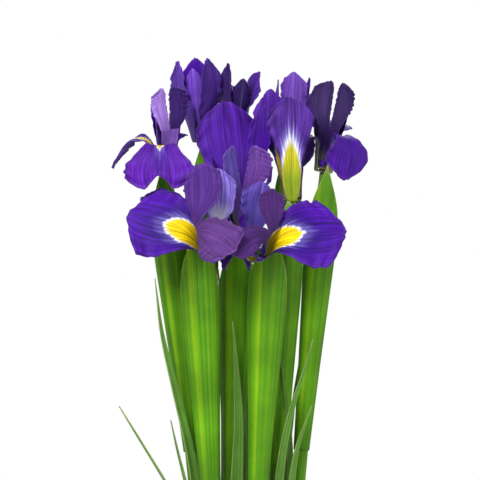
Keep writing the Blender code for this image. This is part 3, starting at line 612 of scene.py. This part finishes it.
def closed_tube(tube, sides, colour, seed, off=0.0, ribs=0.0):
    """The tube as one closed body, each end capped flat with a fan of triangles."""
    u, angle = np.meshgrid(tube.u, np.linspace(0, 2 * math.pi, sides, endpoint=False), indexing="ij")
    grid = tube.at(u, angle, off + ribs * np.cos(angle * 9 + seed))
    mean = .5 * (tube.wide.mean() + tube.deep.mean())
    lie = np.stack([np.cos(angle) * mean * .12, u * tube.length * .004, np.sin(angle) * mean * .12 + seed * .37], -1)
    v = grid.reshape(-1, 3)
    rows = len(tube.u)
    i, j = np.meshgrid(np.arange(rows - 1), np.arange(sides), indexing="ij")
    a, b = i * sides + j, i * sides + (j + 1) % sides
    quads = np.stack([a, b, b + sides, a + sides], -1).reshape(-1, 4)
    low, high = len(v), len(v) + 1
    ends = np.vstack([v.reshape(rows, sides, 3)[0].mean(0), v.reshape(rows, sides, 3)[-1].mean(0)])
    last = (rows - 1) * sides
    tris = [(low, (k + 1) % sides, k) for k in range(sides)] + [(high, last + k, last + (k + 1) % sides) for k in range(sides)]
    tint = colour(u, angle).reshape(-1, 3)
    tint = np.vstack([tint, tint[:1], tint[-1:]])
    lie = np.vstack([lie.reshape(-1, 3), lie.reshape(-1, 3)[:1], lie.reshape(-1, 3)[-1:]])
    points = np.vstack([v, ends])
    q = quads[:, [0, 1, 2]]
    inside = np.einsum("ij,ij->i", points[q[:, 0]], np.cross(points[q[:, 1]], points[q[:, 2]])).sum() < 0
    if inside:
        quads, tris = quads[:, ::-1], [t[::-1] for t in tris]
    return dict(points=points, faces=quads.tolist() + [list(t) for t in tris], tint=tint, lie=lie)


def green(base, light, seed, tip=None):
    """Streaks round a stem or bract: lighter lines that run its whole length."""
    def colour(u, angle):
        line = ripple(angle / (2 * math.pi), seed, 3, 17, 8)
        c = mix(base, light, np.clip(.35 + .5 * line, 0, 1))
        c = c * (1 + .10 * ripple(u, seed + 5, 1, 4))[..., None]
        if tip is not None:
            c = mix(c, tip, ramp(u, .9, 1.0))
        return c
    return colour


def bract(tube, centre, half, off, top, seed, base, light):
    """A pointed leaf wrapped round the tube. centre and half are degrees round it, the half width falling to nothing
    at the tip. Its colour carries painted shade on the flanks that turn away from its middle and a painted highlight
    in a yellow-green band near the middle.
    """
    rows, columns = 72, 61
    s, t = np.meshgrid(np.linspace(0, 1, rows), np.linspace(-1, 1, columns), indexing="ij")
    turn = np.radians(centre + along(s, half) * t)
    u = s * top
    rise = off + .35 * np.abs(t) ** 6 * ramp(s, .1, .5) + .25 * ramp(np.abs(t), .12, 0)
    grid = tube.at(u, turn, rise)
    line = ripple(turn / (2 * math.pi), seed, 5, 26, 10)
    c = mix(base, light, np.clip(.24 + .34 * line, 0, 1))
    # painted shade: the bract darkens towards its flanks, away from its middle
    lit_middle = np.cos(turn - math.radians(centre)) * .5 + .5
    c = mix(c, np.asarray(base) * .45, (1 - lit_middle) ** 2 * .8)
    # painted highlight: a light yellow-green band a little to one side of the middle
    c = mix(c, (.24, .44, .003), ramp(np.abs(np.sin((turn - math.radians(centre - 25)) / 2)), .16, .0) * .55)
    c = c * (1 + .16 * ripple(s * 1.3, seed + 9, .8, 2.6))[..., None]
    c = mix(c, (.42, .52, .12), ramp(np.abs(t), .93, 1.0) * .7)
    c = mix(c, (.45, .42, .22), ramp(s, .965, 1.0) * .8)
    c = mix(c, np.asarray(base) * .8, ramp(s, .25, 0) * .4)
    sheet = Sheet()
    lie = np.stack([turn * 1.1, s * .5, np.full(s.shape, seed * .37)], -1)
    sheet.add_grid(grid, c, c, lie)
    return sheet


def joined(*parts):
    points, faces, tint, lie, n = [], [], [], [], 0
    for p in parts:
        points.append(p["points"]); tint.append(p["tint"]); lie.append(p["lie"])
        faces += [[i + n for i in f] for f in p["faces"]]
        n += len(p["points"])
    return dict(points=np.vstack(points), faces=faces, tint=np.vstack(tint), lie=np.vstack(lie))


def outward(body):
    """The body with its faces turned so that they look out."""
    v = body["points"]
    tris = np.array([f[:3] for f in body["faces"]] + [[f[0], f[2], f[3]] for f in body["faces"] if len(f) == 4])
    volume = np.einsum("ij,ij->i", v[tris[:, 0]], np.cross(v[tris[:, 1]], v[tris[:, 2]])).sum()
    if volume < 0:
        body["faces"] = [f[::-1] for f in body["faces"]]
    return body


def sheath_and_stem(name, flower, sheath, seed):
    axis = flower_frame(flower["tilt"], flower["toward"])[0]
    top = np.array(flower["hub"], float) - axis * .55
    collar = np.array(sheath["collar"], float)
    rim = np.array([sheath["rim"][0], sheath["rim"][1], VASE_HEIGHT])
    up = unit(collar - rim)
    base = collar - up * sheath["length"]
    w = sheath["width"] / 2
    knee = collar * .4 + (top - axis * 10) * .6
    path = [base + up * sheath["length"] * k for k in (0, .3, .66, .88)]
    path += [curve_point(collar - up * 6, knee, top, t) for t in (0, .35, .7, 1)]
    radii = [(w * a, w * b) for a, b in ((.40, .38), (.55, .48), (.78, .58), (.84, .62), (.62, .52), (.40, .38), (.30, .28), (.24, .24))]
    core = closed_tube(Tube(path, radii, 60), 28, green((.12, .24, .03), (.22, .36, .08), seed), seed)
    over = sheath.get("over", 14)
    line = [base + up * (sheath["length"] * k) for k in (-.02, .3, .66, .88, 1.0)] + [collar + up * over]
    skin = Tube(line, [(w * a, w * b) for a, b in ((.46, .44), (.66, .6), (.92, .7), (1.0, .76), (1.0, .76), (.8, .62))], 90)
    turn = sheath.get("turn", 90)
    first = outward(bract(skin, turn + 150, (150, 150, 145, 130, 105, 70, 1), -.2, sheath.get("back", .93), seed + 1, SPATHE, SPATHE_LIGHT).solid(.5))
    second = outward(bract(skin, turn, (165, 160, 140, 118, 92, 60, 1), .5, sheath.get("front", 1.0), seed + 2, SPATHE, SPATHE_LIGHT).solid(.5))
    foot = np.array([rim[0] * .7, rim[1] * .7, VASE_FLOOR + .5])
    head = base + up * 3
    bow = np.array([rim[0] * .03, rim[1] * .03, 0])
    stem = Tube([foot, (rim + foot) / 2 + bow, rim, (head + rim) / 2, head], [(r, r) for r in (3.6, 3.9, 4.0, 4.1, 4.0)], 70)
    return joined(core, first, second), closed_tube(stem, 28, green(STEM, (.14, .32, .004), seed + 3), seed + 3, ribs=.06)


def leaf_blade(leaf, seed):
    rows, columns = 70, 13
    path, length = smooth_path(leaf["path"], rows)
    forward = unit(np.gradient(path, axis=0))
    face = unit(np.array(leaf["face"], float))
    s, t = np.meshgrid(np.linspace(0, 1, rows), np.linspace(-1, 1, columns), indexing="ij")
    n = unit(face - forward * (forward @ face)[:, None])
    side = np.cross(n, forward)
    half = leaf["half"] * along(s, LEAF_HALF)
    grid = path[:, None] + side[:, None] * (half * t)[..., None] - n[:, None] * (half * .3 * (1 - np.abs(t) ** 1.3))[..., None]
    line = ripple(t, seed, 2, 9, 8)
    c = mix(LEAF, leaf.get("pale", LEAF_PALE), np.clip(.16 + .30 * line, 0, 1))
    c = mix(c, (.36, .46, .14), ramp(np.abs(t), .84, 1.0) * .6)
    c = mix(c, (.40, .36, .17), ramp(s, .035, 0.0) * .9)
    back = mix(c, LEAF_PALE, np.full(s.shape, .12))
    sheet = Sheet()
    sheet.add_grid(grid, back, c, lie_of(s * length * .004, t * leaf["half"] * .22, seed))
    return outward(sheet.solid(.7))


VASE_PROFILE = [(0, 0.0), (37.2, 0.0), (38.6, .35), (39.8, 1.4), (40.6, 3.2), (41.0, 6.5), (41.5, 30), (42.0, 60.0), (42.3, 95), (42.5, 130.0), (42.75, 165), (42.8, 190.0),
                (42.7, 195.0), (42.3, 198.0), (41.6, 199.5), (40.6, 200.0), (39.6, 199.6), (38.9, 198.2), (38.5, 195.5), (38.35, 190), (38.2, 130.0), (37.9, 95),
                (37.6, 60.0), (37.1, 30), (36.6, 16.0), (35.4, 12), (33.0, 9.6), (29.0, 8.2), (0, VASE_FLOOR)]


def turned(profile, sides=144):
    """The vase: a body of revolution, with short steps between the profile's corners."""
    line = []
    for (r0, z0), (r1, z1) in zip(profile, profile[1:]):
        steps = max(1, int(math.hypot(r1 - r0, z1 - z0) / 6))
        line += [(r0 + (r1 - r0) * k / steps, z0 + (z1 - z0) * k / steps) for k in range(steps)]
    line = line[1:] if line[0][0] == 0 else line
    line = [p for p in line if p[0] > 1e-6]
    rows = len(line)
    v = np.array([(r * math.cos(2 * math.pi * k / sides), r * math.sin(2 * math.pi * k / sides), z) for r, z in line for k in range(sides)])
    i, j = np.meshgrid(np.arange(rows - 1), np.arange(sides), indexing="ij")
    a, b = i * sides + j, i * sides + (j + 1) % sides
    faces = np.stack([a, b, b + sides, a + sides], -1).reshape(-1, 4).tolist()
    low, last = len(v), (rows - 1) * sides
    v = np.vstack([v, [(0, 0, line[0][1]), (0, 0, line[-1][1])]])
    faces += [[low, (k + 1) % sides, k] for k in range(sides)] + [[low + 1, last + k, last + (k + 1) % sides] for k in range(sides)]
    body = dict(points=v, faces=faces, tint=np.tile((.70, .69, .65), (len(v), 1)), lie=v * .02)
    return outward(body)


# ---- materials ----------------------------------------------------------
class Nodes:
    """A short way to wire a material."""

    def __init__(self, name):
        self.material = bpy.data.materials.new(name)
        self.material.use_nodes = True
        self.tree = self.material.node_tree
        self.shader = self.tree.nodes["Principled BSDF"]

    def new(self, kind, **values):
        node = self.tree.nodes.new(kind)
        for key, value in values.items():
            setattr(node, key, value)
        return node

    def link(self, a, b):
        self.tree.links.new(a, b)

    def attribute(self, name):
        return self.new("ShaderNodeAttribute", attribute_name=name)

    def scaled(self, vector, scale):
        node = self.new("ShaderNodeMapping")
        node.inputs["Scale"].default_value = scale
        self.link(vector, node.inputs["Vector"])
        return node.outputs["Vector"]

    def noise(self, vector, scale=1.0, detail=2.0, rough=.5):
        node = self.new("ShaderNodeTexNoise")
        node.inputs["Scale"].default_value = scale
        node.inputs["Detail"].default_value = detail
        node.inputs["Roughness"].default_value = rough
        self.link(vector, node.inputs["Vector"])
        return node.outputs["Fac"]

    def ranged(self, value, low, high, a=0.0, b=1.0):
        node = self.new("ShaderNodeMapRange")
        for socket, v in zip(("From Min", "From Max", "To Min", "To Max"), (low, high, a, b)):
            node.inputs[socket].default_value = v
        self.link(value, node.inputs["Value"])
        return node.outputs["Result"]

    def math(self, how, a, b):
        node = self.new("ShaderNodeMath", operation=how)
        for socket, v in zip(node.inputs, (a, b)):
            if isinstance(v, (int, float)):
                socket.default_value = v
            else:
                self.link(v, socket)
        return node.outputs[0]

    def times(self, colour, value):
        node = self.new("ShaderNodeVectorMath", operation="SCALE")
        self.link(colour, node.inputs[0])
        self.link(value, node.inputs["Scale"])
        return node.outputs["Vector"]

    def blend(self, a, b, factor):
        node = self.new("ShaderNodeMix", data_type="RGBA")
        self.link(factor, node.inputs["Factor"])
        for key, v in (("A", a), ("B", b)):
            socket = [x for x in node.inputs if x.name == key and x.type == "RGBA"][0]
            if isinstance(v, tuple):
                socket.default_value = (*v, 1)
            else:
                self.link(v, socket)
        return [x for x in node.outputs if x.type == "RGBA"][0]

    def bump(self, height, strength, distance):
        node = self.new("ShaderNodeBump")
        node.inputs["Strength"].default_value = strength
        node.inputs["Distance"].default_value = distance
        self.link(height, node.inputs["Height"])
        self.link(node.outputs["Normal"], self.shader.inputs["Normal"])


def petal_material(name, veins, fine, rough, sheen):
    """Tissue with long veins that fan out, a finer grain between them and a faint waxy sparkle of cells."""
    m = Nodes(name)
    tint, lie = m.attribute("tint").outputs["Color"], m.attribute("lie").outputs["Vector"]
    broad = m.noise(m.scaled(lie, (16, 1.6, 1)), 1, 3, .6)
    narrow = m.noise(m.scaled(lie, (46, 3.2, 1)), 1, 2, .5)
    place = m.new("ShaderNodeTexCoord").outputs["Object"]
    cells = m.noise(place, 1900, 2, .6)
    cloud = m.noise(place, 70, 2, .5)
    shade = m.math("ADD", m.ranged(broad, .34, .66, 1 - veins, 1 + veins), m.ranged(narrow, .3, .7, -fine, fine))
    shade = m.math("ADD", shade, m.ranged(cells, .3, .7, -.06, .06))
    shade = m.math("MULTIPLY", shade, m.ranged(cloud, .3, .7, .90, 1.10))
    m.link(m.times(tint, shade), m.shader.inputs["Base Color"])
    m.link(m.math("ADD", m.ranged(narrow, .3, .7, rough - .07, rough + .07), m.ranged(cells, .3, .7, -.05, .05)), m.shader.inputs["Roughness"])
    height = m.math("ADD", m.math("MULTIPLY", broad, 1.0), m.math("MULTIPLY", narrow, .55))
    height = m.math("ADD", height, m.math("MULTIPLY", cells, .10))
    m.bump(height, .5, .0009)
    m.shader.inputs["Sheen Weight"].default_value = sheen
    m.shader.inputs["Sheen Roughness"].default_value = .4
    m.shader.inputs["Sheen Tint"].default_value = (.6, .35, 1, 1)
    m.shader.inputs["Specular IOR Level"].default_value = .14
    m.shader.inputs["Subsurface Weight"].default_value = .12
    m.shader.inputs["Subsurface Radius"].default_value = (1, .5, 1)
    m.shader.inputs["Subsurface Scale"].default_value = .0012
    return m.material


def green_material(name, veins, rough, waxy):
    """Parallel-veined green tissue with a light bloom on it."""
    m = Nodes(name)
    tint, lie = m.attribute("tint").outputs["Color"], m.attribute("lie").outputs["Vector"]
    lines = m.noise(m.scaled(lie, (26, .9, 26)), 1, 3, .6)
    thin = m.noise(m.scaled(lie, (90, 1.6, 90)), 1, 2, .5)
    place = m.new("ShaderNodeTexCoord").outputs["Object"]
    cloud = m.noise(place, 45, 3, .55)
    specks = m.noise(place, 1500, 2, .6)
    shade = m.math("ADD", m.ranged(lines, .34, .66, 1 - veins, 1 + veins), m.ranged(thin, .3, .7, -.10, .10))
    shade = m.math("MULTIPLY", shade, m.ranged(cloud, .3, .7, .82, 1.16))
    shade = m.math("ADD", shade, m.ranged(specks, .3, .7, -.05, .05))
    coloured = m.times(tint, shade)
    bloom = m.blend(coloured, (.26, .40, .20), m.ranged(m.noise(place, 95, 3, .7), .55, .8, 0, waxy))
    m.link(bloom, m.shader.inputs["Base Color"])
    m.link(m.math("ADD", m.ranged(lines, .3, .7, rough - .08, rough + .08), m.ranged(specks, .3, .7, -.04, .04)), m.shader.inputs["Roughness"])
    m.bump(m.math("ADD", m.math("MULTIPLY", lines, 1.0), m.math("MULTIPLY", thin, .5)), .5, .0007)
    m.shader.inputs["Specular IOR Level"].default_value = .20
    m.shader.inputs["Coat Weight"].default_value = .02
    m.shader.inputs["Coat Roughness"].default_value = .35
    m.shader.inputs["Subsurface Weight"].default_value = .08
    m.shader.inputs["Subsurface Radius"].default_value = (.5, 1, .3)
    m.shader.inputs["Subsurface Scale"].default_value = .0015
    return m.material


def glaze_material(name):
    """Off-white glaze: faint pooling, tiny iron specks and the soft waviness of a fired surface."""
    m = Nodes(name)
    place = m.new("ShaderNodeTexCoord").outputs["Object"]
    pool = m.noise(m.scaled(place, (22, 22, 9)), 1, 3, .5)
    grain = m.noise(place, 420, 3, .65)
    specks = m.noise(place, 900, 1, .4)
    colour = m.blend((.71, .70, .66), (.62, .61, .565), m.ranged(pool, .35, .7))
    colour = m.blend(colour, (.50, .475, .42), m.ranged(grain, .60, .78, 0, .35))
    colour = m.blend(colour, (.28, .21, .15), m.ranged(specks, .735, .765, 0, .75))
    m.link(colour, m.shader.inputs["Base Color"])
    m.link(m.math("ADD", m.ranged(pool, .3, .7, .13, .24), m.ranged(grain, .3, .7, -.03, .03)), m.shader.inputs["Roughness"])
    m.bump(m.math("ADD", pool, m.math("MULTIPLY", grain, .05)), .25, .0016)
    m.shader.inputs["Coat Weight"].default_value = .6
    m.shader.inputs["Coat Roughness"].default_value = .08
    return m.material


MATERIALS = {
    "petal": petal_material("fall_tissue", .44, .34, .52, .02),
    "standard": petal_material("standard_tissue", .38, .22, .52, .02),
    "style_arm": petal_material("crest_tissue", .30, .18, .54, .03),
    "spathe": green_material("spathe_tissue", .20, .46, .0),
    "stem": green_material("stem_tissue", .26, .46, .0),
    "leaf": green_material("leaf_tissue", .26, .46, .12),
    "glaze": glaze_material("glaze"),
}


def make(name, body, slot, *nodes):
    mesh = bpy.data.meshes.new(name)
    mesh.from_pydata((body["points"] * MM).tolist(), [], body["faces"])
    mesh.shade_smooth()
    tint = mesh.attributes.new("tint", "FLOAT_COLOR", "POINT")
    tint.data.foreach_set("color", np.hstack([np.clip(body["tint"], 0, 1), np.ones((len(body["tint"]), 1))]).astype(np.float32).ravel())
    lie = mesh.attributes.new("lie", "FLOAT_VECTOR", "POINT")
    lie.data.foreach_set("vector", np.asarray(body["lie"], np.float32).ravel())
    mesh.materials.append(MATERIALS[slot])
    made = bpy.data.objects.new(name, mesh)
    bpy.context.scene.collection.objects.link(made)
    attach(made, "root")
    if nodes:
        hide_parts(*nodes)
    return made


def build():
    make("vase_glazed", turned(VASE_PROFILE), "glaze", "vase")
    for name, flower in FLOWERS.items():
        seed = int(name) * 1000
        make("iris_falls_" + name, whorl(name, "falls", 0, DISC_FALLS, add_fall, seed), "petal", "falls_" + name)
        make("iris_standards_" + name, whorl(name, "standards", 1, DISC_STANDARDS, add_standard, seed + 300), "standard", "standards_" + name)
        make("iris_style_arms_" + name, whorl(name, "arms", 2, DISC_STYLES, add_arm, seed + 600), "style_arm", "style_arms_" + name)
        spathe, stem = sheath_and_stem(name, flower, SHEATHS[name], int(name) * 7)
        make("iris_spathe_" + name, spathe, "spathe", "spathe_" + name)
        make("iris_stem_" + name, stem, "stem", "stem_" + name)
    for k, (name, leaf) in enumerate(LEAVES.items()):
        make("iris_leaf_" + name, leaf_blade(leaf, 50 + k * 3), "leaf", "leaf_" + name)


# ---- stage, light, camera -----------------------------------------------
def add_stage():
    """A pale floor that turns to even white away from the vase."""
    bpy.ops.mesh.primitive_circle_add(vertices=128, radius=9, fill_type="NGON", location=(0, 0, -0.0002))
    floor = bpy.context.object
    floor.name = "floor"
    m = bpy.data.materials.new("floor")
    m.use_nodes = True
    t = m.node_tree
    t.nodes.clear()

    def node(kind, **values):
        made = t.nodes.new(kind)
        for key, value in values.items():
            setattr(made, key, value)
        return made

    place = node("ShaderNodeTexCoord")
    length = node("ShaderNodeVectorMath", operation="LENGTH")
    t.links.new(place.outputs["Object"], length.inputs[0])
    far = node("ShaderNodeMapRange")
    far.inputs["From Min"].default_value, far.inputs["From Max"].default_value = .28, .95
    t.links.new(length.outputs["Value"], far.inputs["Value"])
    diffuse = node("ShaderNodeBsdfDiffuse")
    diffuse.inputs["Color"].default_value = (.86, .86, .87, 1)
    white = node("ShaderNodeEmission")
    white.inputs["Color"].default_value = (1, 1, 1, 1)
    seen = node("ShaderNodeLightPath")
    strength = node("ShaderNodeMapRange")
    strength.inputs["To Min"].default_value, strength.inputs["To Max"].default_value = .45, 1.0
    t.links.new(seen.outputs["Is Camera Ray"], strength.inputs["Value"])
    t.links.new(strength.outputs["Result"], white.inputs["Strength"])
    both = node("ShaderNodeMixShader")
    t.links.new(far.outputs["Result"], both.inputs["Fac"])
    t.links.new(diffuse.outputs[0], both.inputs[1])
    t.links.new(white.outputs[0], both.inputs[2])
    out = node("ShaderNodeOutputMaterial")
    t.links.new(both.outputs[0], out.inputs["Surface"])
    floor.data.materials.append(m)


def add_light(name, place, size, power, colour=(1, 1, 1)):
    lamp = bpy.data.lights.new(name, "AREA")
    lamp.energy, lamp.size, lamp.color = power, size, colour
    made = bpy.data.objects.new(name, lamp)
    made.location = place
    bpy.context.scene.collection.objects.link(made)
    direction = np.array([0, 0, .33]) - np.array(place)
    from mathutils import Vector
    made.rotation_euler = Vector(direction).to_track_quat("-Z", "Y").to_euler()


def add_world():
    world = bpy.data.worlds.new("studio")
    bpy.context.scene.world = world
    world.use_nodes = True
    t = world.node_tree
    t.nodes.clear()
    back = t.nodes.new("ShaderNodeBackground")
    back.inputs["Color"].default_value = (1, 1, 1, 1)
    seen = t.nodes.new("ShaderNodeLightPath")
    strength = t.nodes.new("ShaderNodeMapRange")
    strength.inputs["To Min"].default_value, strength.inputs["To Max"].default_value = .50, 1.0
    t.links.new(seen.outputs["Is Camera Ray"], strength.inputs["Value"])
    t.links.new(strength.outputs["Result"], back.inputs["Strength"])
    out = t.nodes.new("ShaderNodeOutputWorld")
    t.links.new(back.outputs[0], out.inputs["Surface"])


def add_camera():
    from mathutils import Vector
    data = bpy.data.cameras.new("camera")
    cam = bpy.data.objects.new("camera", data)
    bpy.context.scene.collection.objects.link(cam)
    place, target = Vector((-0.0052, -1.496, 0.4702)), Vector((-0.0052, 0, 0.3652))
    cam.location = place
    cam.rotation_euler = (target - place).to_track_quat("-Z", "Y").to_euler()
    data.sensor_width = 36
    data.lens = 18 / (0.1392 / 1.4997)
    data.clip_start, data.clip_end = .05, 60
    bpy.context.scene.camera = cam


build()
add_stage()
add_light("key", (-.45, -1.2, 1.15), .55, 21)
add_light("fill", (1.0, -1.0, .55), .9, 6)
add_light("back", (.3, 1.2, .9), .8, 9)
add_world()
add_camera()
bpy.context.scene.view_settings.view_transform = "Standard"
